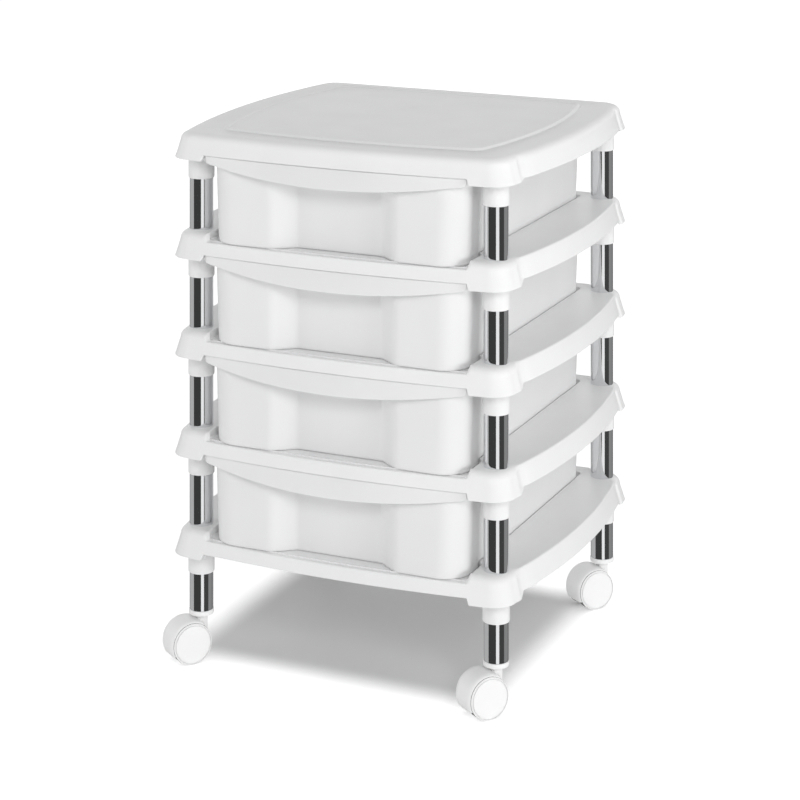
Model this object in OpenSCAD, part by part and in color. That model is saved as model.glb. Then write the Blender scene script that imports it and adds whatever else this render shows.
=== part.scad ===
// Drawer tower on casters: a lid and four shelf trays on chromed posts, four drawers that slide out to
// the front, and four twin wheel casters. Millimetres, +Z up, the front is -Y. The origin is on the
// floor, under the middle of the tower's outer box with the drawers shut.

/* [Tower] */
// Number of shelf trays, each with a drawer on it
levels = 4; // [2:1:4]
// Height from one tray's top to the next tray's top
level_h = 103.2; // [90:0.1:140]
// Height of the lowest tray's top above the floor
low_tray_z = 141.2; // [130:0.1:170]
// Distance between the left and right posts, on their centres
post_pitch_x = 333; // [320:1:420]
// Distance between the front and rear posts, on their centres
post_pitch_y = 315; // [300:1:400]

/* [Tray outline] */
// How far a tray's top reaches past the posts' centres at the sides
over_side = 9.5; // [7:0.5:16]
// How far a tray's top reaches past the front posts' centres
over_front = 16.5; // [12:0.5:22]
// How far a tray's top reaches past the rear posts' centres
over_rear = 14.5; // [12:0.5:22]
// How far each side bows outwards between its corners
bow_side = 16; // [6:0.5:24]
// How far the front edge bows outwards between its corners
bow_front = 10.5; // [4:0.5:14]
// Corner radius of a tray's top
corner_r = 15; // [8:0.5:22]

/* [Skirt] */
// Width of the rounding between a tray's top and its skirt
edge_round_w = 9.5; // [6:0.5:12]
// Height of the rounding between a tray's top and its skirt
edge_round_h = 8; // [5:0.5:10]
// How far the skirt leans out for each millimetre down
skirt_slope = 0.28; // [0:0.01:0.4]
// How far the corner blocks reach inwards past the posts' centres
block_reach = 3; // [1:0.5:8]
// Height of the corner blocks
block_h = 27; // [25:0.5:34]
// Height of a tray's skirt along the sides and the rear
side_skirt_h = 21; // [18:0.5:25]
// Height of the lid's skirt along the sides and the rear
lid_skirt_h = 24; // [18:0.5:25]
// Height of the skirt along the front
front_skirt_h = 20.5; // [18.5:0.5:23]
// Wall thickness of the trays and the lid
tray_wall = 2.5; // [1.5:0.1:3.5]
// Height of the stiffening ribs under the trays and the lid
rib_h = 6; // [3:0.5:8]
// Thickness of the stiffening ribs
rib_t = 1.6; // [1:0.1:3]

/* [Drawer channel] */
// Depth of the channel that a drawer runs in, below the tray's top
channel_depth = 8; // [5:0.5:10]
// Distance of the mouth between two corner blocks from the posts' centres
mouth_inset = 19; // [17.5:0.5:20.5]
// How much narrower the channel is than the mouth, at each side
channel_step = 2.5; // [1:0.5:25]
// Distance from the channel's rear wall to the rear posts' centres
channel_rear_gap = 5; // [0:0.5:10]

/* [Lid panel] */
// Height of the lid's raised panel
panel_h = 2.5; // [1:0.5:4]
// Distance of the raised panel's corners from the lid's sides
panel_inset_x = 27; // [20:1:60]
// Distance of the raised panel's corners from the lid's front and rear
panel_inset_y = 24; // [20:1:60]
// Corner radius of the raised panel
panel_r = 14; // [6:1:30]

/* [Posts] */
// Outer diameter of the posts
post_d = 25; // [18:0.5:26]
// Wall thickness of the posts
post_wall = 1; // [0.6:0.1:2]
// Depth of the socket on top of each tray corner
socket_depth = 20; // [12:0.5:22]
// Thickness of the stop between the upper socket and the collar below it
socket_stop = 3; // [2:0.5:5]
// Distance from a tray's top to the bottom of its collars
collar_drop = 50; // [42:0.5:56]
// Wall thickness of the collars below a block
collar_wall = 1.2; // [1:0.1:2.5]
// Wall thickness of the sleeve inside a block
sleeve_wall = 3; // [2.6:0.1:4]
// Chamfer at a collar's lower end
collar_chamfer = 0.8; // [0.2:0.1:1]

/* [Drawers] */
// Drawer wall thickness
drawer_wall = 2.2; // [1.4:0.1:3]
// How much wider each side stands at the top than at the bottom
drawer_draft = 3.5; // [1:0.5:5.5]
// Radius of the front corners
drawer_front_r = 21; // [14:1:34]
// Radius of the rear corners
drawer_rear_r = 18; // [8:1:24]
// Radius of the rounded bottom edge
drawer_floor_r = 4.5; // [3:0.5:8]
// How far the front wall's lobes stand out past the front edge of the tray's corners
lobe_out = 4; // [0:0.5:5]
// Depth of the hollow in the middle of the front wall
hollow_depth = 17; // [6:0.5:20]
// Half width of the hollow's flat middle
hollow_flat = 38; // [20:1:50]
// Half width of the hollow where it meets the lobes
hollow_end = 74; // [60:1:90]
// Width of the bead round the drawer's top
bead_w = 1; // [0.5:0.1:3]

/* [Pull lip] */
// Thickness of the lip, and height of the bead
lip_t = 2.5; // [1.5:0.1:3.5]
// Height of the lip at its two ends
lip_end_h = 8; // [5:0.5:10]
// How much higher the lip is in the middle
lip_drop = 12; // [6:0.5:16]
// How far the lip's ends stand out past the front edge of the tray's corners
lip_out = 3; // [0:0.5:4]
// How far the lip's lower edge bulges forwards in the middle
lip_bulge = 18; // [10:0.5:22]
// How far the lip's upper edge bulges forwards in the middle
lip_top_bulge = 8; // [4:0.5:9]

/* [Casters] */
// Wheel diameter
wheel_d = 43; // [38:0.5:46]
// Distance from the swivel axis back to the axle
caster_trail = 16; // [14:0.5:20]
// Width over both wheels
caster_w = 33; // [30:0.5:40]
// Width of the hood's middle body between the wheels
hood_web = 11; // [10.6:0.1:13]
// Thickness of the hood's cover over the wheels
hood_t = 1.5; // [1:0.1:2.5]
// How far the wheels' faces stand out past the hood's cover
face_proud = 2; // [1:0.1:4]
// Angle of the hood's rear end below the axle
hood_low_angle = 28; // [0:1:35]
// Direction that the casters trail in at rest, from +X
caster_heading = -128; // [-180:1:180]
// Axle diameter
axle_d = 6; // [4:0.1:8]
// Stem diameter
stem_d = 8; // [6:0.1:8.4]
// Distance from the hood's top to the leg plug
stem_gap = 2.4; // [1.6:0.1:4]
// Height of the leg plug's rim
plug_rim_h = 5; // [3:0.5:8]
// How far the leg plug's rim stands out past the post
plug_rim_out = 0.6; // [0:0.1:1.2]
// How deep the plug stands in the leg
plug_depth = 22; // [16:1:26]
// Height of the hood's top above the wheels
hood_neck_h = 1.6; // [1.5:0.1:6]
// Width of the ring groove in a wheel's face
groove_w = 0.8; // [0.4:0.1:1.5]

/* [Clearances] */
// Radial clearance of pieces that are pushed together
push_fit = 0.05; // [0.02:0.01:0.1]
// Radial clearance of pieces that turn on each other
turn_fit = 0.05; // [0.02:0.01:0.1]
// Gap under and above a drawer
slide_gap = 0.4; // [0.3:0.1:1]
// Gap between a drawer and the corner blocks at each side
mouth_gap = 1.5; // [1:0.1:3]
// Gap between a drawer's foot and the channel's sides
channel_gap = 3.5; // [2:0.5:8]
// Gap between a drawer and the channel's rear wall
rear_gap = 2; // [1:0.5:8]
// Gap between a wheel and the hood
wheel_gap = 0.6; // [0.4:0.1:1.5]

/* [Hidden] */
arc_steps = 6;
side_steps = 14;
front_steps = 12;
rear_steps = 2;
eps = 0.01;
CORNERS = ["fl", "fr", "rl", "rr"];
SIDES = ["a", "b"];
corner_count = len(CORNERS);

white = [0.96, 0.96, 0.96];
drawer_white = [0.9, 0.9, 0.9];
chrome = [0.62, 0.64, 0.66];
steel = [0.45, 0.46, 0.48];

// half sizes of a tray's flat top, from the middle of the four posts
top_half_x = post_pitch_x / 2 + over_side;
top_front = post_pitch_y / 2 + over_front;
top_rear = post_pitch_y / 2 + over_rear;
corner_spread = 2 / 3;

// widths of the mouth and of the channel behind it
mouth_w = post_pitch_x - 2 * mouth_inset;
channel_w = mouth_w - 2 * channel_step;

// a drawer between its channel floor and the skirt above it
drawer_top_drop = front_skirt_h + slide_gap;
drawer_h = level_h - drawer_top_drop + channel_depth - slide_gap;
drawer_half_top = mouth_w / 2 - mouth_gap - bead_w;
drawer_half_foot = min(channel_w / 2 - channel_gap, drawer_half_top - drawer_draft);
channel_rear = post_pitch_y / 2 + channel_rear_gap;
drawer_rear_top = channel_rear - rear_gap - bead_w;
drawer_rear_foot = drawer_rear_top - drawer_draft / 2;
front_edge = top_front + edge_round_w;
drawer_front = front_edge + lobe_out;

// the lip grows from the front wall and from the first 54 degrees of its corners
lip_half = mouth_w / 2 - mouth_gap;
lip_root = drawer_half_top - drawer_front_r * (1 - sin(54));
lip_front = front_edge + lip_out;
lip_wall_gap = 0.3;

// rim of a drawer, from its foot on the wall to its top, as shares of the bead's width and height
RIM_OUT = [0, 0.6, 1, 1, 0.6];
RIM_DOWN = [1, 1, 0.75, 0.25, 0];

// frame origin: half way between the lips and the rear of the corner blocks
reach_front = lip_front + lip_bulge;
reach_rear = top_rear + grow(block_h);
frame_y = (reach_front - reach_rear) / 2;

// heights
leg_end_z = wheel_d + hood_neck_h + stem_gap + plug_rim_h;
plug_bottom_z = leg_end_z - plug_rim_h;
hood_top_z = plug_bottom_z - stem_gap;

// post and socket radii
post_r = post_d / 2;
socket_r = post_r + push_fit;
collar_r = socket_r + collar_wall;
sleeve_r = socket_r + sleeve_wall;
post_len = level_h - socket_stop - 2 * push_fit;

// caster sizes, on the axle's axis
wheel_r = wheel_d / 2;
hood_in_r = wheel_r + wheel_gap;
hood_r = hood_in_r + hood_t;
hood_half = caster_w / 2 - face_proud;
wheel_in = hood_web / 2 + wheel_gap;
wheel_out = caster_w / 2;
axle_r = axle_d / 2;
stem_r = stem_d / 2;
stem_flange_h = 1;
stem_flange_r = stem_r + 1.5;
stem_foot_z = wheel_r + 3;
neck_lead = stem_r + 2.4;
hub_cap = 2.5;

// top of level k: 0 is the lid, 1 the highest tray
function level_z(k) = low_tray_z + (levels - k) * level_h;

// centre of post c, as [x, y] from the middle of the posts
function post_at(c) = [
    (c % 2 == 0 ? -1 : 1) * post_pitch_x / 2,
    (c < 2 ? -1 : 1) * post_pitch_y / 2
];

// how far a tray's outside has spread t below its top
function grow(t) =
    t < edge_round_h
    ? edge_round_w * sin(acos(1 - t / edge_round_h))
    : edge_round_w + (t - edge_round_h) * skirt_slope;

// part of a quarter turn: n + 1 points round a centre
function arc(cx, cy, r, from, n) =
    [for (i = [0:n]) [cx + r * cos(from + 90 * i / n), cy + r * sin(from + 90 * i / n)]];

// n - 1 even steps between -1 and 1, both left out
function bowed(n) = [for (i = [1:n - 1]) 2 * i / n - 1];

// closed outline with bowed sides and round corners, counter-clockwise from above
function bowed_outline(hx, front, rear, r, bow_x, bow_y) =
    let (mid = (rear - front) / 2, half = (rear + front) / 2 - r)
    concat(
        [for (t = bowed(front_steps)) [t * (hx - r), -front - bow_y * (1 - t * t)]],
        arc(hx - r, -front + r, r, -90, arc_steps),
        [for (t = bowed(side_steps)) [hx + bow_x * (1 - t * t), mid + t * half]],
        arc(hx - r, rear - r, r, 0, arc_steps),
        [for (t = bowed(rear_steps)) [-t * (hx - r), rear]],
        arc(-hx + r, rear - r, r, 90, arc_steps),
        [for (t = bowed(side_steps)) [-hx - bow_x * (1 - t * t), mid - t * half]],
        arc(-hx + r, -front + r, r, 180, arc_steps)
    );

function lift(outline, z) = [for (p = outline) [p[0], p[1], z]];

// outline of a tray spread by g, at height z
function tray_ring(g, z) = lift(
    bowed_outline(top_half_x + g, top_front + g, top_rear + g, corner_r + g * corner_spread,
                  bow_side, bow_front),
    z
);

// a closed solid through rings of equal length; the first faces down, the last faces up
module loft(rings) {
    n = len(rings[0]);
    last = len(rings) - 1;
    walls = [
        for (i = [0:last - 1], j = [0:n - 1])
        let (a = i * n + j, b = i * n + (j + 1) % n)
        each [[a, a + n, b + n], [a, b + n, b]]
    ];
    polyhedron(
        points = [for (ring = rings) each ring],
        faces = concat([[for (j = [0:n - 1]) j]], walls, [[for (j = [n:-1:1]) last * n + j % n]])
    );
}

// the outside of a tray or the lid, without hollows
module tray_body() {
    loft(concat(
        [tray_ring(grow(block_h), -block_h)],
        [for (a = [90:-30:0]) tray_ring(edge_round_w * sin(a), -edge_round_h * (1 - cos(a)))]
    ));
}

// the hollow under a tray
module tray_hollow() {
    deep = block_h + 2;
    inner_w = edge_round_w - tray_wall;
    loft(concat(
        [tray_ring(grow(deep) - tray_wall, -deep)],
        [for (a = [90:-45:0]) tray_ring(inner_w * sin(a), -tray_wall - edge_round_h * (1 - cos(a)))]
    ));
}

// what stands inside the hollow: post sleeves, webs between sleeve and skirt, and ribs
module tray_inside(rib_top) {
    reach = top_half_x + bow_side + grow(block_h);
    web_x = mouth_w / 2;
    web_y = post_pitch_y / 2 - block_reach;
    for (c = [0:corner_count - 1]) {
        at = post_at(c);
        sx = sign(at[0]);
        sy = sign(at[1]);
        translate([at[0], at[1], -block_h])
            cylinder(h = block_h, r = sleeve_r, $fn = 64);
        translate([sx > 0 ? web_x : -web_x - rib_t, sy > 0 ? at[1] - rib_t : -reach, -block_h])
            cube([rib_t, reach - abs(at[1]) + rib_t, block_h]);
        translate([sx > 0 ? at[0] : -reach, sy > 0 ? web_y : -web_y - rib_t, -block_h])
            cube([reach - at[0] * sx, rib_t, block_h]);
    }
    for (x = [-1:1])
        translate([x * channel_w / 4 - rib_t / 2, -reach, -rib_top - rib_h])
            cube([rib_t, 2 * reach, rib_h + eps]);
    for (y = [-1:1])
        translate([-web_x, y * post_pitch_y / 4 - rib_t / 2, -rib_top - rib_h])
            cube([2 * web_x, rib_t, rib_h + eps]);
}

// trims the skirt to side_h at the sides and the rear: only the corner blocks keep its whole height
module skirt_trim(side_h) {
    reach = top_half_x + bow_side + grow(block_h) + 5;
    web_y = post_pitch_y / 2 - block_reach;
    translate([-mouth_w / 2, -reach, -block_h - 5])
        cube([mouth_w, reach, block_h + 5 - front_skirt_h]);
    translate([-mouth_w / 2, -eps, -block_h - 5])
        cube([mouth_w, reach, block_h + 5 - side_h]);
    translate([-reach, -web_y, -block_h - 5])
        cube([2 * reach, 2 * web_y, block_h + 5 - side_h]);
}

// channel for a drawer, wider between the front blocks; wall makes the tub that holds it
module channel_space(low, high, wall) {
    front = top_front + 40;
    translate([-channel_w / 2 - wall, -front, low])
        cube([channel_w + 2 * wall, front + channel_rear + wall, high - low]);
    translate([-mouth_w / 2 - wall, -front, low])
        cube([mouth_w + 2 * wall, front - post_pitch_y / 2 + post_r + wall, high - low]);
}

// the lower part of a corner's sleeve, below the block
module collar() {
    run = collar_drop - block_h + 1;
    rotate_extrude($fn = 64)
        polygon([
            [socket_r - 1, 0],
            [collar_r - collar_chamfer, 0],
            [collar_r, collar_chamfer],
            [collar_r, run],
            [socket_r - 1, run]
        ]);
}

module tray(k) {
    color(white)
        translate([0, frame_y, level_z(k)])
        difference() {
            union() {
                difference() {
                    tray_body();
                    difference() {
                        tray_hollow();
                        tray_inside(channel_depth + tray_wall);
                        channel_space(-channel_depth - tray_wall, 1, tray_wall);
                    }
                    channel_space(-channel_depth, 5, 0);
                    skirt_trim(side_skirt_h);
                }
                for (c = [0:corner_count - 1])
                    translate([post_at(c)[0], post_at(c)[1], -collar_drop])
                        collar();
            }
            for (c = [0:corner_count - 1])
                translate([post_at(c)[0], post_at(c)[1], 0]) {
                    translate([0, 0, -socket_depth])
                        cylinder(h = socket_depth + 5, r = socket_r, $fn = 64);
                    translate([0, 0, -collar_drop - 5])
                        cylinder(h = collar_drop + 5 - socket_depth - socket_stop, r = socket_r, $fn = 64);
                }
        }
}

// outline of the lid's raised panel, moved in by inset, at height z
function panel_ring(inset, z) = lift(
    bowed_outline(top_half_x - panel_inset_x - inset, top_front - panel_inset_y - inset,
                  top_rear - panel_inset_y - inset, panel_r - inset / 2, bow_side, bow_front),
    z
);

module lid_panel() {
    loft([
        panel_ring(0, -1),
        panel_ring(0, panel_h / 3),
        panel_ring(panel_h * 0.6, panel_h)
    ]);
}

module top_cover() {
    core_r = post_r - 3;
    color(white)
        translate([0, frame_y, level_z(0)])
        difference() {
            union() {
                difference() {
                    tray_body();
                    difference() {
                        tray_hollow();
                        tray_inside(tray_wall);
                    }
                    skirt_trim(lid_skirt_h);
                }
                lid_panel();
                for (c = [0:corner_count - 1])
                    translate([post_at(c)[0], post_at(c)[1], -collar_drop])
                        collar();
            }
            for (c = [0:corner_count - 1])
                translate([post_at(c)[0], post_at(c)[1], 0]) {
                    translate([0, 0, -collar_drop - 5])
                        cylinder(h = collar_drop + 5 - socket_depth - socket_stop, r = socket_r, $fn = 64);
                    translate([0, 0, -collar_drop])
                        cylinder(h = collar_drop - tray_wall - 1, r = core_r, $fn = 64);
                }
        }
}

// smooth step from 1 in the hollow's middle to 0 at the lobes
function hollow_share(x) =
    let (t = min(max((abs(x) - hollow_flat) / (hollow_end - hollow_flat), 0), 1))
    1 - t * t * (3 - 2 * t);

// outline of a drawer from the middle of its rear: round corners, waved front, counter-clockwise
function drawer_ring(half, front, rear, front_r, rear_r, z) = lift(
    concat(
        [[0, rear]],
        arc(-half + rear_r, rear - rear_r, rear_r, 90, 4),
        arc(-half + front_r, -front + front_r, front_r, 180, 5),
        [
            for (t = bowed(24))
            let (x = t * (half - front_r))
            [x, -front + hollow_depth * hollow_share(x)]
        ],
        arc(half - front_r, -front + front_r, front_r, 270, 5),
        arc(half - rear_r, rear - rear_r, rear_r, 0, 4)
    ),
    z
);

// outline of the drawer at height z, moved in by inset
function drawer_level(z, inset) =
    let (t = z / drawer_h)
    drawer_ring(
        drawer_half_foot + (drawer_half_top - drawer_half_foot) * t - inset,
        drawer_front - inset,
        drawer_rear_foot + (drawer_rear_top - drawer_rear_foot) * t - inset,
        drawer_front_r - inset / 2,
        drawer_rear_r - inset / 2,
        z
    );

// true where the pull lip grows from point p of the rim
function on_lip(p) = p[1] < 0 && abs(p[0]) < lip_root + 0.1;

// point of the lip in front of wall point p: 1 and 2 on its inside, 3 and 4 on its outside
function lip_point(p, step) =
    let (
        low = step == 2 || step == 3,
        thick = step < 3 ? lip_t : 0,
        u = p[0] / lip_root,
        swell = 1 - u * u,
        out = lip_front + (low ? lip_bulge : lip_top_bulge) * swell - thick,
        down = low ? lip_end_h + lip_drop * swell : thick
    )
    [u * (lip_half - thick), min(-out, p[1] - lip_wall_gap), drawer_h - down];

// one ring of the rim: the bead along the sides and the rear, the pull lip in front
function rim_ring(step) =
    let (
        wall = drawer_level(drawer_h, 0),
        bead = drawer_level(drawer_h - lip_t * RIM_DOWN[step], -bead_w * RIM_OUT[step])
    )
    [for (j = [0:len(wall) - 1]) step > 0 && on_lip(wall[j]) ? lip_point(wall[j], step) : bead[j]];

module drawer(k) {
    inner_r = drawer_floor_r - drawer_wall / 2;
    color(drawer_white)
        translate([0, frame_y, level_z(k) - channel_depth + slide_gap])
        loft(concat(
            [for (a = [0:30:90]) drawer_level(drawer_floor_r * (1 - cos(a)), drawer_floor_r * (1 - sin(a)))],
            [for (step = [0:4]) rim_ring(step)],
            [drawer_level(drawer_h, drawer_wall)],
            [
                for (a = [90:-45:0])
                drawer_level(drawer_wall + inner_r * (1 - cos(a)), drawer_wall + inner_r * (1 - sin(a)))
            ]
        ));
}

module tube(len) {
    color(chrome)
        difference() {
            cylinder(h = len, r = post_r, $fn = 64);
            translate([0, 0, -1])
                cylinder(h = len + 2, r = post_r - post_wall, $fn = 64);
        }
}

// post above tray k at corner c
module post(k, c) {
    translate([post_at(c)[0], post_at(c)[1] + frame_y, level_z(k) - socket_depth])
        tube(post_len);
}

// leg below the lowest tray
module leg(c) {
    top = low_tray_z - socket_depth - socket_stop - push_fit;
    translate([post_at(c)[0], post_at(c)[1] + frame_y, leg_end_z])
        tube(top - leg_end_z);
}

// puts a caster piece at corner c, with +X along the trail and +Y along the axle
module at_caster(c) {
    translate([post_at(c)[0], post_at(c)[1] + frame_y, 0])
        rotate([0, 0, caster_heading])
        children();
}

module plug(c) {
    insert_r = post_r - post_wall - push_fit;
    rim_r = post_r + plug_rim_out;
    color(white)
        at_caster(c)
        translate([0, 0, plug_bottom_z])
        rotate_extrude($fn = 64)
        polygon([
            [stem_r + push_fit, 0],
            [rim_r - 1, 0],
            [rim_r, 1],
            [rim_r, plug_rim_h],
            [insert_r, plug_rim_h],
            [insert_r, plug_rim_h + plug_depth - 1],
            [insert_r - 1, plug_rim_h + plug_depth],
            [stem_r + push_fit, plug_rim_h + plug_depth]
        ]);
}

module stem(c) {
    stem_top = plug_bottom_z + plug_rim_h + plug_depth - 2;
    color(steel)
        at_caster(c)
        rotate_extrude($fn = 48)
        polygon([
            [0, stem_foot_z],
            [stem_r - 0.5, stem_foot_z],
            [stem_r, stem_foot_z + 0.5],
            [stem_r, plug_bottom_z - stem_flange_h],
            [stem_flange_r, plug_bottom_z - stem_flange_h],
            [stem_flange_r, plug_bottom_z],
            [stem_r, plug_bottom_z],
            [stem_r, stem_top - 1],
            [stem_r - 1, stem_top],
            [0, stem_top]
        ]);
}

// turns a profile of [radius, place along the axle] about the axle
module about_axle() {
    translate([caster_trail, 0, wheel_r])
        rotate([-90, 0, 0])
        children();
}

module hood(c) {
    shoulder = 4;
    sweep = 125 + hood_low_angle;
    body_half = hood_web / 2;
    neck_w = hood_web - 0.4;
    color(white)
        at_caster(c)
        difference() {
            union() {
                about_axle()
                    rotate([0, 0, hood_low_angle - sweep])
                    rotate_extrude(angle = sweep, $fn = 96)
                    difference() {
                        union() {
                            polygon(concat(
                                [[hood_in_r - 2, -hood_half], [hood_in_r - 2, hood_half]],
                                [
                                    for (a = [0:15:90])
                                    [hood_r - shoulder / 2 * (1 - sin(a)), hood_half - shoulder * (1 - cos(a))]
                                ],
                                [
                                    for (a = [90:-15:0])
                                    [hood_r - shoulder / 2 * (1 - sin(a)), -hood_half + shoulder * (1 - cos(a))]
                                ]
                            ));
                            translate([axle_r + 1, -body_half])
                                square([hood_in_r - axle_r, hood_web]);
                        }
                        for (s = [-1, 1])
                            translate([0, s * (body_half + hood_half)])
                                square([2 * hood_in_r, 2 * hood_half], center = true);
                    }
                about_axle()
                    cylinder(h = neck_w, r = axle_r + 3.5, center = true, $fn = 48);
                translate([-neck_lead, -neck_w / 2, stem_foot_z - 2])
                    cube([neck_lead + caster_trail, neck_w, hood_top_z - stem_foot_z - wheel_gap]);
                intersection() {
                    translate([-neck_lead, -body_half - 1, wheel_r])
                        cube([2 * neck_lead, hood_web + 2, hood_top_z - wheel_r]);
                    difference() {
                        translate([-neck_lead, -hood_half, wheel_r])
                            cube([2 * neck_lead, 2 * hood_half, hood_top_z - wheel_r]);
                        about_axle()
                            cylinder(h = caster_w, r = hood_in_r, center = true, $fn = 96);
                    }
                }
            }
            translate([0, 0, stem_foot_z - 1])
                cylinder(h = hood_top_z, r = stem_r + turn_fit, $fn = 48);
            about_axle()
                cylinder(h = caster_w, r = axle_r + push_fit, center = true, $fn = 48);
        }
}

module axle(c) {
    color(steel)
        at_caster(c)
        about_axle()
        cylinder(h = 2 * (wheel_out - hub_cap) - 0.6, r = axle_r, center = true, $fn = 48);
}

// wheel on side s: 0 turns on the axle's near end, 1 on its far end
module wheel(c, s) {
    round_r = 2;
    tread = wheel_out - wheel_in;
    hub_r = axle_r + 3;
    rim_in = wheel_r - 3;
    groove_out = wheel_r - 1.2;
    color(white)
        at_caster(c)
        translate([caster_trail, 0, wheel_r])
        rotate([s == 0 ? -90 : 90, 0, 0])
        translate([0, 0, wheel_in])
        rotate_extrude($fn = 96)
        polygon(concat(
            [
                [0, tread - hub_cap],
                [axle_r + turn_fit, tread - hub_cap],
                [axle_r + turn_fit, 0],
                [hub_r, 0],
                [hub_r, tread - hub_cap],
                [rim_in, tread - hub_cap],
                [rim_in, 0],
                [wheel_r - 1, 0],
                [wheel_r, 1]
            ],
            [for (a = [0:30:90]) [wheel_r - round_r / 2 * (1 - cos(a)), tread - round_r * (1 - sin(a))]],
            [
                [groove_out, tread],
                [groove_out, tread - groove_w],
                [groove_out - groove_w, tread - groove_w],
                [groove_out - groove_w, tread],
                [0, tread]
            ]
        ));
}

top_cover();
for (k = [1:levels]) {
    tray(k);
    drawer(k);
    for (c = [0:corner_count - 1])
        post(k, c);
}
for (c = [0:corner_count - 1]) {
    leg(c);
    plug(c);
    stem(c);
    hood(c);
    axle(c);
    for (s = [0:1])
        wheel(c, s);
}
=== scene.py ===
# %% [markdown]
# # A drawer tower on casters
# Five white shelf trays on chromed tubes, four drawers between them, and four twin wheel casters.
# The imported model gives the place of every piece, so the lesson starts by loading it. Sizes below
# are in millimetres, as on a drawing, and MM turns them into Blender's metres.
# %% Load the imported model
from math import acos, atan2, cos, exp, hypot, pi, radians, sin, sqrt

import bmesh
import bpy
from mathutils import Matrix, Vector


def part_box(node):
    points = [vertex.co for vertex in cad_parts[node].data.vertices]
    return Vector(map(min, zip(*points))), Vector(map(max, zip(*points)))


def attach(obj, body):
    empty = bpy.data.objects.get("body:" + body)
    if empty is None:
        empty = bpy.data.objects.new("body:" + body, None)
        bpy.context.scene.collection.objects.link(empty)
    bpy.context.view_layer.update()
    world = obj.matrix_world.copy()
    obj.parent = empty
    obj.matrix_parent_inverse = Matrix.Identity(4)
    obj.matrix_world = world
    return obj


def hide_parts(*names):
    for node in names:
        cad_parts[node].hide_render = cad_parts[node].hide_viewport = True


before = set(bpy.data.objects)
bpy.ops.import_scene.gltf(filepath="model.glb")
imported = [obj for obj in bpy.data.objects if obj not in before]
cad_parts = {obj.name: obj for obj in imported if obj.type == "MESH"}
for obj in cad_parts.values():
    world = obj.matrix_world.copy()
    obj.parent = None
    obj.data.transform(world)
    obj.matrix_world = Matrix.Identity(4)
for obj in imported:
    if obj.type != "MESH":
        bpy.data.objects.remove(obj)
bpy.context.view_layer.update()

MM = 0.001
CORNERS = ("fl", "fr", "rl", "rr")
LEVELS = (1, 2, 3, 4)

# %% [markdown]
# ## Where the tubes stand
# Everything on the tower is placed from the middle of its four tubes. That point lies a little
# behind the middle of the outer box, because the drawers' lips reach out in front, so it is read
# from the tubes themselves.
# %% Find the tubes
SOCKET_DEPTH, PANEL_RISE = 20, 2.5
tube_at = {}
for corner in CORNERS:
    low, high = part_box("post_1_" + corner)
    tube_at[corner] = ((low.x + high.x) / 2 / MM, (low.y + high.y) / 2 / MM)
middle_y = (tube_at["fl"][1] + tube_at["rl"][1]) / 2
shelf_top = {k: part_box(f"post_{k}_fl")[0].z / MM + SOCKET_DEPTH for k in LEVELS}
lid_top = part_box("top_cover")[1].z / MM - PANEL_RISE
print("tubes' middle in y:", round(middle_y, 2))
print("shelf tops:", [round(z, 1) for z in shelf_top.values()])

# %% [markdown]
# ## The camera
# The photograph was taken level, and its frame was then cut from the lower part of the picture:
# the tubes run straight up the page, although we look down on the lid. A shifted lens would do
# this, but the shift would be large and would stay in the other views. Here the camera's parent
# carries the slant instead: its matrix keeps "up" upright while the view points down.
# %% Set up the camera
PICTURE_PX, SENSOR_MM = 800, 36
LENS_PX, HORIZON_PX, TURN = 2430.55, -314.6, 0.4215
EYE = (1.0671, -2.3996 + middle_y * MM, 1.0197)


def photo_camera():
    """A camera whose picture keeps upright lines upright."""
    right = Vector((cos(TURN), sin(TURN), 0))
    ahead = Vector((-sin(TURN), cos(TURN), 0))
    view = ahead - (PICTURE_PX / 2 - HORIZON_PX) / LENS_PX * Vector((0, 0, 1))
    back = -view.normalized()
    lens = bpy.data.cameras.new("photo_camera")
    lens.sensor_width = SENSOR_MM
    lens.lens = SENSOR_MM * LENS_PX * view.length / PICTURE_PX
    camera = bpy.data.objects.new("photo_camera", lens)
    stand = bpy.data.objects.new("camera_stand", None)
    for item in (camera, stand):
        bpy.context.scene.collection.objects.link(item)
    camera.parent = stand
    camera.matrix_parent_inverse = Matrix((
        (right.x, 0, back.x, EYE[0]),
        (right.y, 0, back.y, EYE[1]),
        (right.z, 1, back.z, EYE[2]),
        (0, 0, 0, 1),
    ))
    return camera


bpy.context.scene.camera = photo_camera()
bpy.context.scene.view_settings.view_transform = "Standard"
print("lens", round(bpy.context.scene.camera.data.lens, 1), "mm")

# %% [markdown]
# ## Tools of the workshop
# Moulded pieces have smooth skins with soft edges. Each is drawn as a stack of closed rings, from
# the inside of its wall round to the outside: a circle is the start, and every further ring is
# extruded from the last and pulled into place. Posts, wheels and plugs are turned pieces: half a
# section is drawn and spun round its axis. The helpers below do both with Blender's own operators.
# %% Clean starts and edit mode
def nothing_selected():
    """Leaves edit mode and drops every selection, so that the next tool works on one piece."""
    if bpy.context.object and bpy.context.object.mode != "OBJECT":
        bpy.ops.object.mode_set(mode="OBJECT")
    bpy.ops.object.select_all(action="DESELECT")


def pick(piece):
    """Selects one piece alone and makes it the active one."""
    nothing_selected()
    piece.select_set(True)
    bpy.context.view_layer.objects.active = piece


def close_up(piece):
    """Merges doubled points, drops loose edges, turns the faces outwards and leaves edit mode."""
    bpy.ops.mesh.select_all(action="SELECT")
    bpy.ops.mesh.remove_doubles(threshold=0.000002)
    bpy.ops.mesh.delete_loose()
    bpy.ops.mesh.select_all(action="SELECT")
    bpy.ops.mesh.normals_make_consistent(inside=False)
    bpy.ops.object.mode_set(mode="OBJECT")
    print(piece.name, len(piece.data.polygons), "faces")
    return piece


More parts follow.
